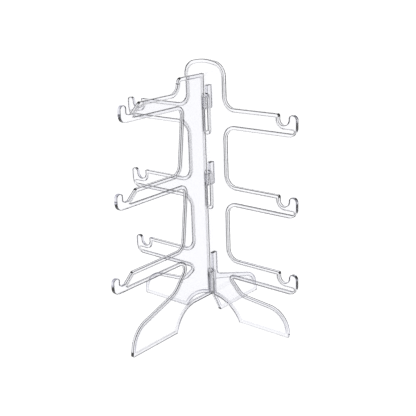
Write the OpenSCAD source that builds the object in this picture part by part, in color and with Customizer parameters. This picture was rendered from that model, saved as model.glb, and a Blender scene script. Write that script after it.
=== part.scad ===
// Eyeglass display rack in clear moulded plastic.
// A back panel carries the temples of the glasses on its arms, and an upright fin carries their
// bridges in front. The fin's hooks reach through slots in the back panel, and the panel drops
// down behind them, so the two panels lock into a cross that stands on four feet.
// X runs along the back panel, -Y is the front and Z is up. The feet stand on Z = 0.

/* [Moulding] */
// Thickness of both panels at their raised rim
panel_t = 3; // [2.5:0.1:4]
// Thickness of the web inside the rim
web_t = 1.8; // [1.2:0.1:2.2]
// Width of the rim that follows each outline
rim_w = 2.8; // [1.5:0.1:3]
// Gap between the two panels wherever one slides on the other
fit_gap = 0.2; // [0.1:0.05:0.4]

/* [Tiers] */
// Number of pairs of glasses that the rack holds
tiers = 3; // [2:1:4]
// Height from one tier to the next
tier_pitch = 61; // [56:1:80]

/* [Back panel] */
// Half of the width of the upright body
body_half = 20; // [17:0.5:24]
// Height of the head above the underside of the highest arm
head_h = 52.8; // [45:1:60]
// Reach of each arm from the middle of the panel
arm_reach = 84.6; // [80:0.5:95]
// Height of the underside of the lowest arm
arm_z = 37.4; // [36:0.5:40]
// Height of an arm
arm_h = 16.6; // [15:0.5:20]
// Reach of each side foot from the middle of the panel
foot_reach = 77; // [70:1:84]
// Height of the arch between the side feet
arch_h = 18; // [14:1:19]

/* [Front fin] */
// Depth of the fin's head in front of the back panel
fin_depth = 30.3; // [28:0.1:33]
// Height of the fin above the underside of its highest arm
fin_head_h = 23.8; // [20:1:30]
// Reach of the highest arm in front of the back panel
fin_arm_reach = 90.7; // [84:1:100]
// Extra reach of each arm over the one above it
fin_arm_step = 8.8; // [6:0.2:10]
// Height of the underside of the lowest arm
fin_arm_z = 55.3; // [54:0.5:58]
// Height of an arm
fin_arm_h = 12.8; // [11:0.2:15]
// Reach of the front foot
front_foot_reach = 94.2; // [86:1:104]
// Reach of the rear foot behind the front face of the back panel
rear_foot_reach = 62.5; // [55:1:75]

/* [Hidden] */
clear_plastic = [0.93, 0.94, 0.98, 0.45];
// Largest angle of one facet on a wide curve and on a small one, and where small begins
wide_arc_step = 15;
small_arc_step = 22.5;
small_arc_r = 5;
// How far a cutter runs past a face
over = 1;

// The lowest arm of the fin reaches furthest, and the model is centred from front to back
front_reach = fin_arm_reach + (tiers - 1) * fin_arm_step;
panel_y = (front_reach - rear_foot_reach) / 2;

// Back panel: a crowned head, notched arms and two splayed feet with an arch between them
panel_top_z = arm_z + (tiers - 1) * tier_pitch + head_h;
head_drop = 3.8;
head_r = 12;
crown_r = 40;
arm_root_r = 8;
arm_end_r = 7.5;
lip_w = 7.3;
lip_r = 3.4;
notch_w = 8.3;
notch_depth = 8;
notch_r = 4;
web_end_r = (arm_h - notch_depth) * 0.48;
edge_r = 1.5;
// Corners of a side foot as [distance from the middle, height, radius]
side_foot_end = [foot_reach, 21.5, 20];
side_foot_knee = [body_half + 11.5, 25.6, 12];
side_foot_root = [body_half + 0.5, arm_z, edge_r];
// The arch is the arc through its crown and the inner edges of both feet
foot_inner = 28.6;
arch_r = (pow(foot_inner, 2) + pow(arch_h, 2)) / (2 * arch_h);

// Fin: distances run forward from the back panel's front face. Its front edge flares downward
// between the arms, and each arm ends in a ramp, a flat rest for the bridge and a lip.
fin_top_z = fin_arm_z + (tiers - 1) * tier_pitch + fin_head_h;
fin_head_r = 4.8;
fin_waist = fin_depth - 3.7;
fin_flare = fin_depth + 2.7;
fin_lip_w = 7;
fin_lip_r = 3.3;
rest_w = 5.2;
rest_rise = 5.8;
rest_r = 1.2;
ramp_run = 8;
ramp_r = 2.5;
fin_root_r = 7;
fin_under_r = 4.5;
fin_end_r = 5.5;
// Corners of the feet as [forward distance, height, radius]
front_foot_end = [front_foot_reach - 3.9, 20.6, 22];
front_foot_knee = [44, 35.3, 16];
front_foot_root = [26.5, fin_arm_z, 4.6];
front_foot_inner = [43.5, 0, edge_r / 2];
rear_foot_end = [-rear_foot_reach, 17.5, 16];
rear_foot_inner = [-11, 0, edge_r / 2];
fin_arch_z = 18.5;
fin_arch_front = [36, fin_arch_z, 23];
fin_arch_rear = [-1.5, fin_arch_z, 4];

// Interlock: at each upper tier a neck crosses the back panel and ends in a hook that points up.
// At the lowest tier the fin's whole lower part crosses it and ends in a stem that points up.
neck_z = fin_arm_z - 4.3;
neck_h = 9.3;
hook_h = 18.4;
hook_r = 1.2;
hook_front = -(panel_t + fit_gap);
hook_w = 6.2;
hook_back = hook_front - hook_w;
crossing_top_z = 37.8;
stem_top_z = 54.2;
stem_foot = [hook_back, 34.2, 4];
// Height of the rear foot's inner edge where the rear web starts
rear_web_z = fin_arch_z * (hook_front - rear_foot_inner.x) / (fin_arch_rear.x - rear_foot_inner.x);
corner_r = 0.3;
slot_w = panel_t + 2 * fit_gap;
// Lifting the back panel this far frees it from every hook at once
lift = stem_top_z - crossing_top_z + fit_gap;

function unit(v) = v / norm(v);
function turn(a, b, c) = sign((b.x - a.x) * (c.y - b.y) - (b.y - a.y) * (c.x - b.x));
function place(corner) = [corner.x, corner.y];
function before(corners, i) = place(corners[(i + len(corners) - 1) % len(corners)]);
function after(corners, i) = place(corners[(i + 1) % len(corners)]);

// The arc that rounds corner b between its neighbours a and c, as points from a's side to c's
function corner_arc(a, b, c, r) =
    let (
        to_a = unit(a - b),
        to_c = unit(c - b),
        half = acos(to_a * to_c) / 2,
        centre = b + unit(to_a + to_c) * r / sin(half),
        first = b + to_a * r / tan(half) - centre,
        sweep = turn(a, b, c) * (180 - 2 * half),
        start = atan2(first.y, first.x),
        step = r < small_arc_r ? small_arc_step : wide_arc_step,
        steps = max(2, ceil(abs(sweep) / step))
    )
    r == 0 ? [b] : [
        for (k = [0 : steps])
            let (angle = start + sweep * k / steps)
            centre + r * [cos(angle), sin(angle)]
    ];

// A closed outline from anticlockwise corners [x, y, radius]
function rounded(corners) = [
    for (i = [0 : len(corners) - 1])
        each corner_arc(before(corners, i), place(corners[i]), after(corners, i), corners[i].z)
];

// The same corners moved inward by a distance, with every arc kept concentric
function inset(corners, distance) = [
    for (i = [0 : len(corners) - 1])
        let (
            a = before(corners, i),
            b = place(corners[i]),
            c = after(corners, i),
            to_a = unit(a - b),
            to_c = unit(c - b),
            inward = turn(a, b, c) * distance,
            moved = b + unit(to_a + to_c) * inward / sin(acos(to_a * to_c) / 2)
        )
        [moved.x, moved.y, max(corner_r, corners[i].z - inward)]
];

function mirrored(corners) = [
    for (i = [len(corners) - 1 : -1 : 0]) [-corners[i].x, corners[i].y, corners[i].z]
];

// A slot up the middle of the back panel, between two heights
function upright_slot(bottom, top) = [
    [slot_w / 2, bottom, corner_r],
    [slot_w / 2, top, corner_r],
    [-slot_w / 2, top, corner_r],
    [-slot_w / 2, bottom, corner_r]
];

// A temple arm: its end with or without the lip, the notch for the temple, and its upper root
function temple_arm(z, with_lip) =
    let (
        top = z + arm_h,
        floor_z = top - notch_depth,
        lip_inner = arm_reach - lip_w,
        notch_inner = lip_inner - notch_w
    )
    concat(
        with_lip ? [
            [arm_reach, z, arm_end_r],
            [arm_reach, top, lip_r],
            [lip_inner, top, lip_r],
            [lip_inner, floor_z, notch_r]
        ] : [
            [arm_reach, z, web_end_r],
            [arm_reach, floor_z, web_end_r]
        ],
        [
            [notch_inner, floor_z, notch_r],
            [notch_inner, top, edge_r],
            [body_half, top, arm_root_r]
        ]
    );

// The right half of the back panel, from the tip of its foot up to the head
function panel_side(with_lips) = concat(
    [
        [foot_reach, 0, edge_r],
        side_foot_end,
        side_foot_knee,
        side_foot_root
    ],
    temple_arm(arm_z, with_lips),
    [
        for (tier = [1 : tiers - 1])
            let (z = arm_z + tier * tier_pitch)
            each concat([[body_half, z, arm_root_r]], temple_arm(z, with_lips))
    ],
    [[body_half, panel_top_z - head_drop, head_r]]
);

function panel_corners(with_lips) = concat(
    panel_side(with_lips),
    [[0, panel_top_z, crown_r]],
    mirrored(panel_side(with_lips))
);

function neck_at(tier) = neck_z + tier * tier_pitch;

// The slots of the back panel; the lowest one opens into the arch
function panel_slots() = concat(
    [upright_slot(0, crossing_top_z + fit_gap)],
    [
        for (tier = [1 : tiers - 1])
            upright_slot(neck_at(tier) - lift - fit_gap, neck_at(tier) + neck_h + fit_gap)
    ]
);

// A bridge arm: its end with or without the rest and lip, then its ramp and its upper root
function bridge_arm(tier, with_lip) =
    let (
        z = fin_arm_z + tier * tier_pitch,
        top = z + fin_arm_h,
        reach = front_reach - tier * fin_arm_step,
        lip_inner = reach - fin_lip_w,
        ramp_foot = lip_inner - rest_w,
        ramp_to_underside = ramp_run * rest_rise / (fin_arm_h - rest_rise)
    )
    concat(
        with_lip ? [
            [reach, z, fin_end_r],
            [reach, top, fin_lip_r],
            [lip_inner, top, fin_lip_r],
            [lip_inner, z + rest_rise, rest_r],
            [ramp_foot, z + rest_rise, rest_r]
        ] : [
            [ramp_foot + ramp_to_underside, z, edge_r]
        ],
        [
            [ramp_foot - ramp_run, top, ramp_r],
            [tier < tiers - 1 ? fin_flare : fin_depth, top, fin_root_r]
        ]
    );

// The fin in front of the back panel, from the arch over its front foot to its rear top corner
function fin_front(with_lips) = concat(
    [
        fin_arch_front,
        front_foot_inner,
        [front_foot_reach, 0, edge_r],
        front_foot_end,
        front_foot_knee,
        front_foot_root
    ],
    bridge_arm(0, with_lips),
    [
        for (tier = [1 : tiers - 1])
            let (z = fin_arm_z + tier * tier_pitch)
            each concat([[fin_waist, z, fin_under_r]], bridge_arm(tier, with_lips))
    ],
    [
        [fin_depth, fin_top_z, fin_head_r],
        [fit_gap, fin_top_z, edge_r]
    ]
);

// A neck and its hook, from the top of the neck round to its underside
function hook(tier) =
    let (z = neck_at(tier))
    [
        [fit_gap, z + neck_h, corner_r],
        [hook_front, z + neck_h, corner_r],
        [hook_front, z + hook_h, hook_r],
        [hook_back, z + hook_h, hook_r],
        [hook_back, z, hook_r],
        [fit_gap, z, corner_r]
    ];

function fin_corners() = concat(
    fin_front(true),
    [for (tier = [tiers - 1 : -1 : 1]) each hook(tier)],
    [
        [fit_gap, crossing_top_z, corner_r],
        [hook_front, crossing_top_z, corner_r],
        [hook_front, stem_top_z, hook_r],
        [hook_back, stem_top_z, hook_r],
        stem_foot,
        rear_foot_end,
        [-rear_foot_reach, 0, edge_r],
        rear_foot_inner,
        fin_arch_rear
    ]
);

// The web of the fin stops either side of the crossing, where the back panel grips the fin
function front_web() = concat(fin_front(false), [[fit_gap, fin_arch_z, edge_r]]);
function rear_web() = [
    [hook_front, stem_foot.y, edge_r],
    rear_foot_end,
    [-rear_foot_reach, 0, edge_r],
    rear_foot_inner,
    [hook_front, rear_web_z, edge_r]
];

// A moulded plate: the first child is its outline, the second is the area of its thinner web
module plate() {
    recess = (panel_t - web_t) / 2;
    difference() {
        linear_extrude(panel_t) children(0);
        for (z = [-over, panel_t - recess])
            translate([0, 0, z])
            linear_extrude(recess + over) children(1);
    }
}

// The back panel's outline, slots and arch, or the same area with a rim taken off all round it
module panel_area(with_lips, rim) {
    difference() {
        polygon(rounded(inset(panel_corners(with_lips), rim)));
        for (slot = panel_slots()) polygon(rounded(inset(slot, -rim)));
        translate([0, arch_h - arch_r]) circle(arch_r + rim, $fn = 120);
    }
}

module back_panel() {
    color(clear_plastic)
    translate([0, panel_y + panel_t, 0])
    rotate([90, 0, 0])
    plate() {
        panel_area(true, 0);
        panel_area(false, rim_w);
    }
}

module front_fin() {
    color(clear_plastic)
    translate([panel_t / 2, panel_y, 0])
    rotate([90, 0, -90])
    plate() {
        polygon(rounded(fin_corners()));
        union() {
            polygon(rounded(inset(front_web(), rim_w)));
            polygon(rounded(inset(rear_web(), rim_w)));
        }
    }
}

back_panel();
front_fin();
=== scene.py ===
import math

import bmesh
import bpy
from mathutils import Matrix, Vector


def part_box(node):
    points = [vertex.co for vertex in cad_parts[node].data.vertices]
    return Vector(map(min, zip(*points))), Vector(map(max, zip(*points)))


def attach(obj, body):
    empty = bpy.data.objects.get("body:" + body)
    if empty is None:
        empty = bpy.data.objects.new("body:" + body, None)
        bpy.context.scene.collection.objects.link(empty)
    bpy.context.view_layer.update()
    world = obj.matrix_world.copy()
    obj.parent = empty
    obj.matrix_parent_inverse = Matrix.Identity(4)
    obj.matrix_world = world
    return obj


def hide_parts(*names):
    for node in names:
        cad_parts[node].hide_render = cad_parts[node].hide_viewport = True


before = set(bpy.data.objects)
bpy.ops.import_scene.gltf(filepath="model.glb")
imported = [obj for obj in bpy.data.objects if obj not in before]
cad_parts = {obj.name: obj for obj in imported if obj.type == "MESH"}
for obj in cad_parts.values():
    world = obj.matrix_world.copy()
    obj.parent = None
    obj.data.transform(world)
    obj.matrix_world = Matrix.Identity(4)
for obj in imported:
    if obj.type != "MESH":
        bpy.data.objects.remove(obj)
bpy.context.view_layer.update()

# An eyeglass display rack: a back panel and a front fin, both plates of clear moulded plastic.
# Outlines are in millimetres, in the plane of each plate; the meshes are in metres.
PANEL, FIN = "back_panel", "front_fin"
MM = 0.001

panel_low, panel_high = (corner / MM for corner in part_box(PANEL))
fin_low, fin_high = (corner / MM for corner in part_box(FIN))

# Section of both plates: a raised rim with rounded edges round a thinner web
PANEL_T = panel_high.y - panel_low.y
WEB_T = 1.8
RIM_W = 2.8
EDGE_ROUND = 0.5
STEP_ROUND = 0.25
ROUND_STEPS = 4
FIT_GAP = 0.2
CORNER_R = 0.3
EDGE_R = 1.5

# Tiers
TIERS = 3
TIER_PITCH = 61

# Back panel, measured from its middle and from the surface that it stands on
BODY_HALF = 20
HEAD_H = 52.8
HEAD_DROP = 3.8
HEAD_R = 12
CROWN_R = 40
ARM_REACH = panel_high.x
ARM_Z = 37.4
ARM_H = 16.6
ARM_ROOT_R = 8
ARM_END_R = 7.5
LIP_W = 7.3
LIP_R = 3.4
NOTCH_W = 8.3
NOTCH_DEPTH = 8
NOTCH_R = 4
WEB_END_R = (ARM_H - NOTCH_DEPTH) * 0.48
SIDE_FOOT = [(77, 0, EDGE_R), (77, 21.5, 20), (31.5, 25.6, 12), (20.5, ARM_Z, EDGE_R)]
FOOT_INNER = 28.6
ARCH_H = 18
ARCH_R = (FOOT_INNER ** 2 + ARCH_H ** 2) / (2 * ARCH_H)
ARCH_STEPS = 20
PANEL_TOP = ARM_Z + (TIERS - 1) * TIER_PITCH + HEAD_H

# Front fin, measured forward from the front face of the back panel
FRONT_REACH = panel_low.y - fin_low.y
REAR_REACH = fin_high.y - panel_low.y
FIN_DEPTH = 30.3
FIN_WAIST = FIN_DEPTH - 3.7
FIN_FLARE = FIN_DEPTH + 2.7
FIN_ARM_STEP = 8.8
FIN_ARM_Z = 55.3
FIN_ARM_H = 12.8
FIN_TOP = fin_high.z
FIN_HEAD_R = 4.8
FIN_LIP_W = 7
FIN_LIP_R = 3.3
FIN_ROOT_R = 7
FIN_UNDER_R = 4.5
FIN_END_R = 5.5
REST_W = 5.2
REST_RISE = 5.8
REST_R = 1.2
RAMP_RUN = 8
RAMP_R = 2.5
FRONT_FOOT = [
    (43.5, 0, EDGE_R / 2), (94.2, 0, EDGE_R), (90.3, 20.6, 22), (44, 35.3, 16), (26.5, FIN_ARM_Z, 4.6)
]
REAR_FOOT = [(-REAR_REACH, 17.5, 16), (-REAR_REACH, 0, EDGE_R), (-11, 0, EDGE_R / 2)]
FIN_ARCH_Z = 18.5
FIN_ARCH_FRONT = (36, FIN_ARCH_Z, 23)
FIN_ARCH_REAR = (-1.5, FIN_ARCH_Z, 4)

# Interlock: necks and hooks on the fin, slots in the back panel
NECK_Z = FIN_ARM_Z - 4.3
NECK_H = 9.3
HOOK_H = 18.4
HOOK_R = 1.2
HOOK_FRONT = -(PANEL_T + FIT_GAP)
HOOK_W = 6.2
HOOK_BACK = HOOK_FRONT - HOOK_W
CROSSING_TOP = 37.8
STEM_TOP = 54.2
STEM_FOOT = (HOOK_BACK, 34.2, 4)
SLOT_HALF = PANEL_T / 2 + FIT_GAP
LIFT = STEM_TOP - CROSSING_TOP + FIT_GAP

# Largest angle of one facet on a wide curve and on a small one, and where small begins
WIDE_ARC_STEP = math.radians(5)
SMALL_ARC_STEP = math.radians(15)
SMALL_ARC_R = 1.3

# Plastic: its absorption is stronger than real clear plastic has, to draw the edges on white
PLASTIC_IOR = 1.57
DEPTH_TINT = (0.6, 0.6, 0.68, 1)
ABSORPTION = 120
FLOW_STRETCH = (1, 1, 0.15)
FLOW_SCALE = 90
FLOW_HEIGHT = 0.1 * MM
FLOW_STRENGTH = 0.12
HAZE_SCALE = 40
HAZE_RANGE = (0.35, 0.7)
ROUGHNESS_RANGE = (0.005, 0.03)

# The view, in metres: azimuth from +Y towards -X, elevation above the horizon, and a slight roll
CAMERA_AZIMUTH = math.radians(40.34)
CAMERA_ELEVATION = math.radians(17.66)
CAMERA_ROLL = math.radians(-2.03)
CAMERA_DISTANCE = 0.6287
CAMERA_TARGET_HEIGHT = 0.44
CAMERA_LENS = 67.86
CAMERA_CLIP_START = 0.01

# The studio, in metres, is over-bright, as for a catalogue picture: white all round at floor
# height, with a darker ceiling, which draws the top edges. The floor shines by itself, apart from
# a small share that takes its light from the lamp and the surroundings.
WHITE_LEVEL = 1.2
CEILING_LEVEL = 0.7
FADE_START = 0.1
FADE_END = 0.5
LIT_SHARE = 0.1
FLOOR_SIZE = 60
LAMP_PLACE = Vector((0.3, 0.2, 1.1))
LAMP_SIZE = (0.9, 0.6)
LAMP_POWER = 5


def turn(a, b, c):
    """1 where an outline turns left at b on its way from a to c, and -1 where it turns right."""
    return math.copysign(1, (b - a).cross(c - b))


def corner_arc(a, b, c, radius, inward):
    """Points of the arc that rounds corner b between its neighbours, moved inward."""
    to_a = (a - b).normalized()
    to_c = (c - b).normalized()
    half = to_a.angle(to_c) / 2
    bisector = (to_a + to_c).normalized()
    side = turn(a, b, c)
    arc_r = max(CORNER_R, radius - side * inward)
    corner = b + bisector * side * inward / math.sin(half)
    centre = corner + bisector * arc_r / math.sin(half)
    first = corner + to_a * arc_r / math.tan(half) - centre
    sweep = side * (math.pi - 2 * half)
    arc_step = SMALL_ARC_STEP if radius < SMALL_ARC_R else WIDE_ARC_STEP
    steps = max(2, math.ceil(abs(sweep) / arc_step))
    return [centre + Matrix.Rotation(sweep * k / steps, 2) @ first for k in range(steps + 1)]


def outline(corners, inward):
    """A closed outline from anticlockwise corners (x, y, radius), moved inward all round."""
    points = [Vector((x, y)) for x, y, _ in corners]
    count = len(points)
    return [
        point
        for i in range(count)
        for point in corner_arc(points[i - 1], points[i], points[(i + 1) % count], corners[i][2], inward)
    ]


def mirrored(corners):
    return [(-x, y, radius) for x, y, radius in reversed(corners)]


def temple_arm(z, with_lip):
    """A temple arm from its lower end round to its upper root."""
    top = z + ARM_H
    floor = top - NOTCH_DEPTH
    lip_inner = ARM_REACH - LIP_W
    notch_inner = lip_inner - NOTCH_W
    end = [(ARM_REACH, z, WEB_END_R), (ARM_REACH, floor, WEB_END_R)]
    lip = [
        (ARM_REACH, z, ARM_END_R), (ARM_REACH, top, LIP_R),
        (lip_inner, top, LIP_R), (lip_inner, floor, NOTCH_R),
    ]
    return (lip if with_lip else end) + [
        (notch_inner, floor, NOTCH_R), (notch_inner, top, EDGE_R), (BODY_HALF, top, ARM_ROOT_R)
    ]


def panel_side(with_lips):
    """The right half of the back panel, from the tip of its foot up to its head."""
    corners = SIDE_FOOT + temple_arm(ARM_Z, with_lips)
    for tier in range(1, TIERS):
        z = ARM_Z + tier * TIER_PITCH
        corners += [(BODY_HALF, z, ARM_ROOT_R)] + temple_arm(z, with_lips)
    return corners + [(BODY_HALF, PANEL_TOP - HEAD_DROP, HEAD_R)]


def arch(inward):
    """The arch between the side feet and the slot above it, from left to right."""
    radius = ARCH_R + inward
    centre = Vector((0, ARCH_H - ARCH_R))
    foot = math.asin((inward - centre.y) / radius)
    crown = math.acos((SLOT_HALF + inward) / radius)
    right = [
        centre + radius * Vector((math.cos(angle), math.sin(angle)))
        for angle in (crown + (foot - crown) * k / ARCH_STEPS for k in range(ARCH_STEPS + 1))
    ]
    left = [Vector((-point.x, point.y)) for point in reversed(right)]
    low, high = Vector((SLOT_HALF, 0)), Vector((SLOT_HALF, CROSSING_TOP + FIT_GAP))
    far = Vector((-high.x, high.y))
    left_top = corner_arc(Vector((-low.x, 0)), far, high, CORNER_R, inward)
    right_top = corner_arc(far, high, low, CORNER_R, inward)
    return left + left_top + right_top + right


def panel_outline(with_lips):
    corners = panel_side(with_lips) + [(0, PANEL_TOP, CROWN_R)] + mirrored(panel_side(with_lips))
    return lambda inward: outline(corners, inward) + arch(inward)


def neck_at(tier):
    return NECK_Z + tier * TIER_PITCH


def slot_outline(tier):
    """The slot for the hook of one tier; inward is into the plate, away from the slot."""
    bottom = neck_at(tier) - LIFT - FIT_GAP
    top = neck_at(tier) + NECK_H + FIT_GAP
    corners = [
        (SLOT_HALF, bottom, CORNER_R), (SLOT_HALF, top, CORNER_R),
        (-SLOT_HALF, top, CORNER_R), (-SLOT_HALF, bottom, CORNER_R),
    ]
    return lambda inward: outline(corners, -inward)


def bridge_arm(tier, with_lip):
    """A bridge arm from its lower end round to its upper root."""
    z = FIN_ARM_Z + tier * TIER_PITCH
    top = z + FIN_ARM_H
    reach = FRONT_REACH - tier * FIN_ARM_STEP
    lip_inner = reach - FIN_LIP_W
    ramp_foot = lip_inner - REST_W
    ramp_end = ramp_foot + RAMP_RUN * REST_RISE / (FIN_ARM_H - REST_RISE)
    lip = [
        (reach, z, FIN_END_R), (reach, top, FIN_LIP_R), (lip_inner, top, FIN_LIP_R),
        (lip_inner, z + REST_RISE, REST_R), (ramp_foot, z + REST_RISE, REST_R),
    ]
    root = FIN_FLARE if tier < TIERS - 1 else FIN_DEPTH
    return (lip if with_lip else [(ramp_end, z, EDGE_R)]) + [
        (ramp_foot - RAMP_RUN, top, RAMP_R), (root, top, FIN_ROOT_R)
    ]


def fin_front(with_lips):
    """The fin in front of the back panel, from its arch round to its rear top corner."""
    corners = [FIN_ARCH_FRONT] + FRONT_FOOT + bridge_arm(0, with_lips)
    for tier in range(1, TIERS):
        z = FIN_ARM_Z + tier * TIER_PITCH
        corners += [(FIN_WAIST, z, FIN_UNDER_R)] + bridge_arm(tier, with_lips)
    return corners + [(FIN_DEPTH, FIN_TOP, FIN_HEAD_R), (FIT_GAP, FIN_TOP, EDGE_R)]


def hook(tier):
    """A neck and its hook, from the top of the neck round to its underside."""
    z = neck_at(tier)
    return [
        (FIT_GAP, z + NECK_H, CORNER_R), (HOOK_FRONT, z + NECK_H, CORNER_R),
        (HOOK_FRONT, z + HOOK_H, HOOK_R), (HOOK_BACK, z + HOOK_H, HOOK_R),
        (HOOK_BACK, z, HOOK_R), (FIT_GAP, z, CORNER_R),
    ]


def fin_outline():
    corners = fin_front(True)
    for tier in range(TIERS - 1, 0, -1):
        corners += hook(tier)
    corners += [
        (FIT_GAP, CROSSING_TOP, CORNER_R), (HOOK_FRONT, CROSSING_TOP, CORNER_R),
        (HOOK_FRONT, STEM_TOP, HOOK_R), (HOOK_BACK, STEM_TOP, HOOK_R), STEM_FOOT,
    ]
    corners += REAR_FOOT + [FIN_ARCH_REAR]
    return lambda inward: outline(corners, inward)


def front_web_outline():
    corners = fin_front(False) + [(FIT_GAP, FIN_ARCH_Z, EDGE_R)]
    return lambda inward: outline(corners, inward)


def rear_web_outline():
    rear_foot_inner = REAR_FOOT[-1][0]
    web_z = FIN_ARCH_Z * (HOOK_FRONT - rear_foot_inner) / (FIN_ARCH_REAR[0] - rear_foot_inner)
    corners = [(HOOK_FRONT, STEM_FOOT[1], EDGE_R)] + REAR_FOOT + [(HOOK_FRONT, web_z, EDGE_R)]
    return lambda inward: outline(corners, inward)


def quarter_turn():
    """Angles of a quarter turn in even steps."""
    return [math.pi / 2 * k / ROUND_STEPS for k in range(ROUND_STEPS + 1)]


def edge_section():
    """(distance inward, height above the middle plane) across a rounded edge of a plate."""
    front = [
        (EDGE_ROUND * (1 - math.cos(a)), PANEL_T / 2 - EDGE_ROUND * (1 - math.sin(a)))
        for a in quarter_turn()
    ]
    return [(inward, -height) for inward, height in reversed(front)] + front


def step_section():
    """(distance inward, height above the middle plane) from the rim's face down to the web."""
    over_rim = [
        (RIM_W - STEP_ROUND * (1 - math.sin(a)), PANEL_T / 2 - STEP_ROUND * (1 - math.cos(a)))
        for a in quarter_turn()
    ]
    into_web = [
        (RIM_W + STEP_ROUND * (1 - math.cos(a)), WEB_T / 2 + STEP_ROUND * (1 - math.sin(a)))
        for a in quarter_turn()
    ]
    return over_rim + into_web


class Plate:
    """A closed mesh of one plate, built from rings of points at a distance and a height."""

    def __init__(self, place):
        self.work = bmesh.new()
        self.place = place

    def ring(self, edge, inward, height):
        return [self.work.verts.new(self.place(point, height) * MM) for point in edge(inward)]

    def bridge(self, first, second, smooth=True):
        for i in range(len(first)):
            face = self.work.faces.new((first[i - 1], first[i], second[i], second[i - 1]))
            face.smooth = smooth

    def sweep(self, edge, section, side=1):
        """Rings of one edge along a section, joined by quads; returns the first and the last."""
        rings = [self.ring(edge, inward, side * height) for inward, height in section]
        for first, second in zip(rings, rings[1:]):
            self.bridge(first, second)
        return rings[0], rings[-1]

    def fill(self, rings):
        """A flat face between an outer ring and the rings inside it."""
        edges = [
            self.work.edges.get((ring[i - 1], ring[i])) for ring in rings for i in range(len(ring))
        ]
        bmesh.ops.triangle_fill(self.work, edges=edges, use_beauty=True)

    def finish(self, name):
        bmesh.ops.recalc_face_normals(self.work, faces=self.work.faces)
        mesh = bpy.data.meshes.new(name)
        self.work.to_mesh(mesh)
        self.work.free()
        return mesh


def plate_mesh(name, place, outer, pockets, slots=()):
    """A plate with a rim round its outline and slots, and a thinner web in each pocket."""
    plate = Plate(place)
    outer_faces = plate.sweep(outer, edge_section())
    slot_faces = [plate.sweep(slot, edge_section()) for slot in slots]
    for side, face in ((-1, 0), (1, 1)):
        pocket_rings = [plate.sweep(pocket, step_section(), side) for pocket in pockets]
        plate.fill([outer_faces[face]] + [rim for rim, _ in pocket_rings])
        slot_rings = [plate.sweep(slot, step_section(), side) for slot in slots]
        for slot_face, (rim, _) in zip(slot_faces, slot_rings):
            plate.bridge(slot_face[face], rim, smooth=False)
        for _, web in pocket_rings:
            plate.fill([web] + [island for _, island in slot_rings])
    return plate.finish(name)


def across_x(point, height):
    """A point of the back panel, whose plane faces -Y."""
    return Vector((point.x, (panel_low.y + panel_high.y) / 2 - height, point.y))


def along_y(point, height):
    """A point of the fin, whose plane faces X and whose outline runs forward from the panel."""
    return Vector((height, panel_low.y - point.x, point.y))


def add_node(tree, kind, values=(), **settings):
    """A new node with its settings and the values of its input sockets."""
    node = tree.nodes.new(kind)
    for name, value in settings.items():
        setattr(node, name, value)
    for socket, value in dict(values).items():
        node.inputs[socket].default_value = value
    return node


def clear_plastic():
    """Clear moulded plastic, faintly wavy along its flow and darker through its thick edges."""
    material = bpy.data.materials.new("clear_plastic")
    material.use_nodes = True
    tree = material.node_tree
    shader = tree.nodes["Principled BSDF"]
    shader.inputs["Base Color"].default_value = (1, 1, 1, 1)
    shader.inputs["IOR"].default_value = PLASTIC_IOR
    shader.inputs["Transmission Weight"].default_value = 1

    place = add_node(tree, "ShaderNodeTexCoord")
    stretch = add_node(tree, "ShaderNodeMapping", {"Scale": FLOW_STRETCH})
    tree.links.new(place.outputs["Object"], stretch.inputs["Vector"])
    flow = add_node(tree, "ShaderNodeTexNoise", {"Scale": FLOW_SCALE, "Detail": 2})
    tree.links.new(stretch.outputs[0], flow.inputs["Vector"])
    ripple = add_node(
        tree, "ShaderNodeBump", {"Strength": FLOW_STRENGTH, "Distance": FLOW_HEIGHT}
    )
    tree.links.new(flow.outputs["Fac"], ripple.inputs["Height"])
    tree.links.new(ripple.outputs[0], shader.inputs["Normal"])

    haze = add_node(tree, "ShaderNodeTexNoise", {"Scale": HAZE_SCALE, "Detail": 4})
    tree.links.new(place.outputs["Object"], haze.inputs["Vector"])
    polish = add_node(
        tree, "ShaderNodeMapRange",
        {
            "From Min": HAZE_RANGE[0], "From Max": HAZE_RANGE[1],
            "To Min": ROUGHNESS_RANGE[0], "To Max": ROUGHNESS_RANGE[1],
        },
    )
    tree.links.new(haze.outputs["Fac"], polish.inputs["Value"])
    tree.links.new(polish.outputs[0], shader.inputs["Roughness"])

    depth = add_node(
        tree, "ShaderNodeVolumeAbsorption", {"Color": DEPTH_TINT, "Density": ABSORPTION}
    )
    tree.links.new(depth.outputs[0], tree.nodes["Material Output"].inputs["Volume"])
    return material


def add_piece(mesh, node, material):
    piece = bpy.data.objects.new(mesh.name, mesh)
    bpy.context.scene.collection.objects.link(piece)
    mesh.materials.append(material)
    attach(piece, node)
    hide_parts(node)


def make_camera():
    low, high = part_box(PANEL)
    target = Vector((0, low.y, high.z * CAMERA_TARGET_HEIGHT))
    forward = Vector((
        -math.sin(CAMERA_AZIMUTH) * math.cos(CAMERA_ELEVATION),
        math.cos(CAMERA_AZIMUTH) * math.cos(CAMERA_ELEVATION),
        -math.sin(CAMERA_ELEVATION),
    ))
    level = forward.cross(Vector((0, 0, 1))).normalized()
    right = math.cos(CAMERA_ROLL) * level + math.sin(CAMERA_ROLL) * level.cross(forward)
    axes = Matrix((right, right.cross(forward), -forward)).transposed()
    data = bpy.data.cameras.new("camera")
    data.lens = CAMERA_LENS
    data.clip_start = CAMERA_CLIP_START
    camera = bpy.data.objects.new("camera", data)
    camera.matrix_world = Matrix.Translation(target - CAMERA_DISTANCE * forward) @ axes.to_4x4()
    bpy.context.scene.collection.objects.link(camera)
    bpy.context.scene.camera = camera


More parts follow.
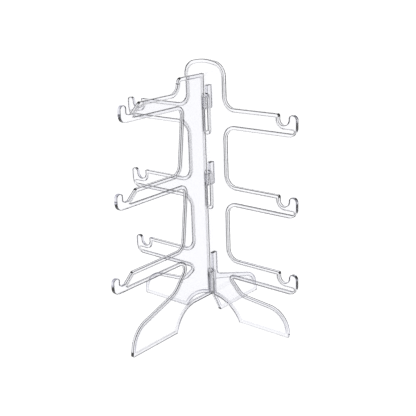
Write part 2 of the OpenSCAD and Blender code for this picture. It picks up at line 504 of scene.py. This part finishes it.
def make_floor():
    work = bmesh.new()
    bmesh.ops.create_grid(work, x_segments=1, y_segments=1, size=FLOOR_SIZE / 2)
    mesh = bpy.data.meshes.new("floor")
    work.to_mesh(mesh)
    work.free()
    floor = bpy.data.objects.new("floor", mesh)
    bpy.context.scene.collection.objects.link(floor)

    material = bpy.data.materials.new("floor")
    material.use_nodes = True
    shader = material.node_tree.nodes["Principled BSDF"]
    shader.inputs["Base Color"].default_value = (LIT_SHARE, LIT_SHARE, LIT_SHARE, 1)
    shader.inputs["Roughness"].default_value = 1
    shader.inputs["Specular IOR Level"].default_value = 0
    shader.inputs["Emission Color"].default_value = (1, 1, 1, 1)
    shader.inputs["Emission Strength"].default_value = WHITE_LEVEL * (1 - LIT_SHARE)
    mesh.materials.append(material)


def make_world():
    world = bpy.data.worlds.new("studio")
    bpy.context.scene.world = world
    world.use_nodes = True
    tree = world.node_tree
    background = tree.nodes["Background"]
    background.inputs["Color"].default_value = (1, 1, 1, 1)
    direction = add_node(tree, "ShaderNodeTexCoord")
    height = add_node(tree, "ShaderNodeSeparateXYZ")
    tree.links.new(direction.outputs["Generated"], height.inputs[0])
    fade = add_node(
        tree, "ShaderNodeMapRange",
        {"From Min": FADE_START, "From Max": FADE_END, "To Min": WHITE_LEVEL, "To Max": CEILING_LEVEL},
    )
    tree.links.new(height.outputs["Z"], fade.inputs["Value"])
    tree.links.new(fade.outputs[0], background.inputs["Strength"])


def make_soft_light():
    data = bpy.data.lights.new("softbox", "AREA")
    data.shape = "RECTANGLE"
    data.size, data.size_y = LAMP_SIZE
    data.energy = LAMP_POWER
    softbox = bpy.data.objects.new("softbox", data)
    softbox.location = LAMP_PLACE
    softbox.rotation_euler = (-LAMP_PLACE).to_track_quat("-Z", "Y").to_euler()
    bpy.context.scene.collection.objects.link(softbox)


make_camera()
plastic = clear_plastic()
add_piece(
    plate_mesh(
        "back_panel_moulding", across_x, panel_outline(True), [panel_outline(False)],
        [slot_outline(tier) for tier in range(1, TIERS)],
    ),
    PANEL, plastic,
)
add_piece(
    plate_mesh("front_fin_moulding", along_y, fin_outline(), [front_web_outline(), rear_web_outline()]),
    FIN, plastic,
)
make_floor()
make_world()
make_soft_light()
bpy.context.scene.view_settings.view_transform = "Standard"
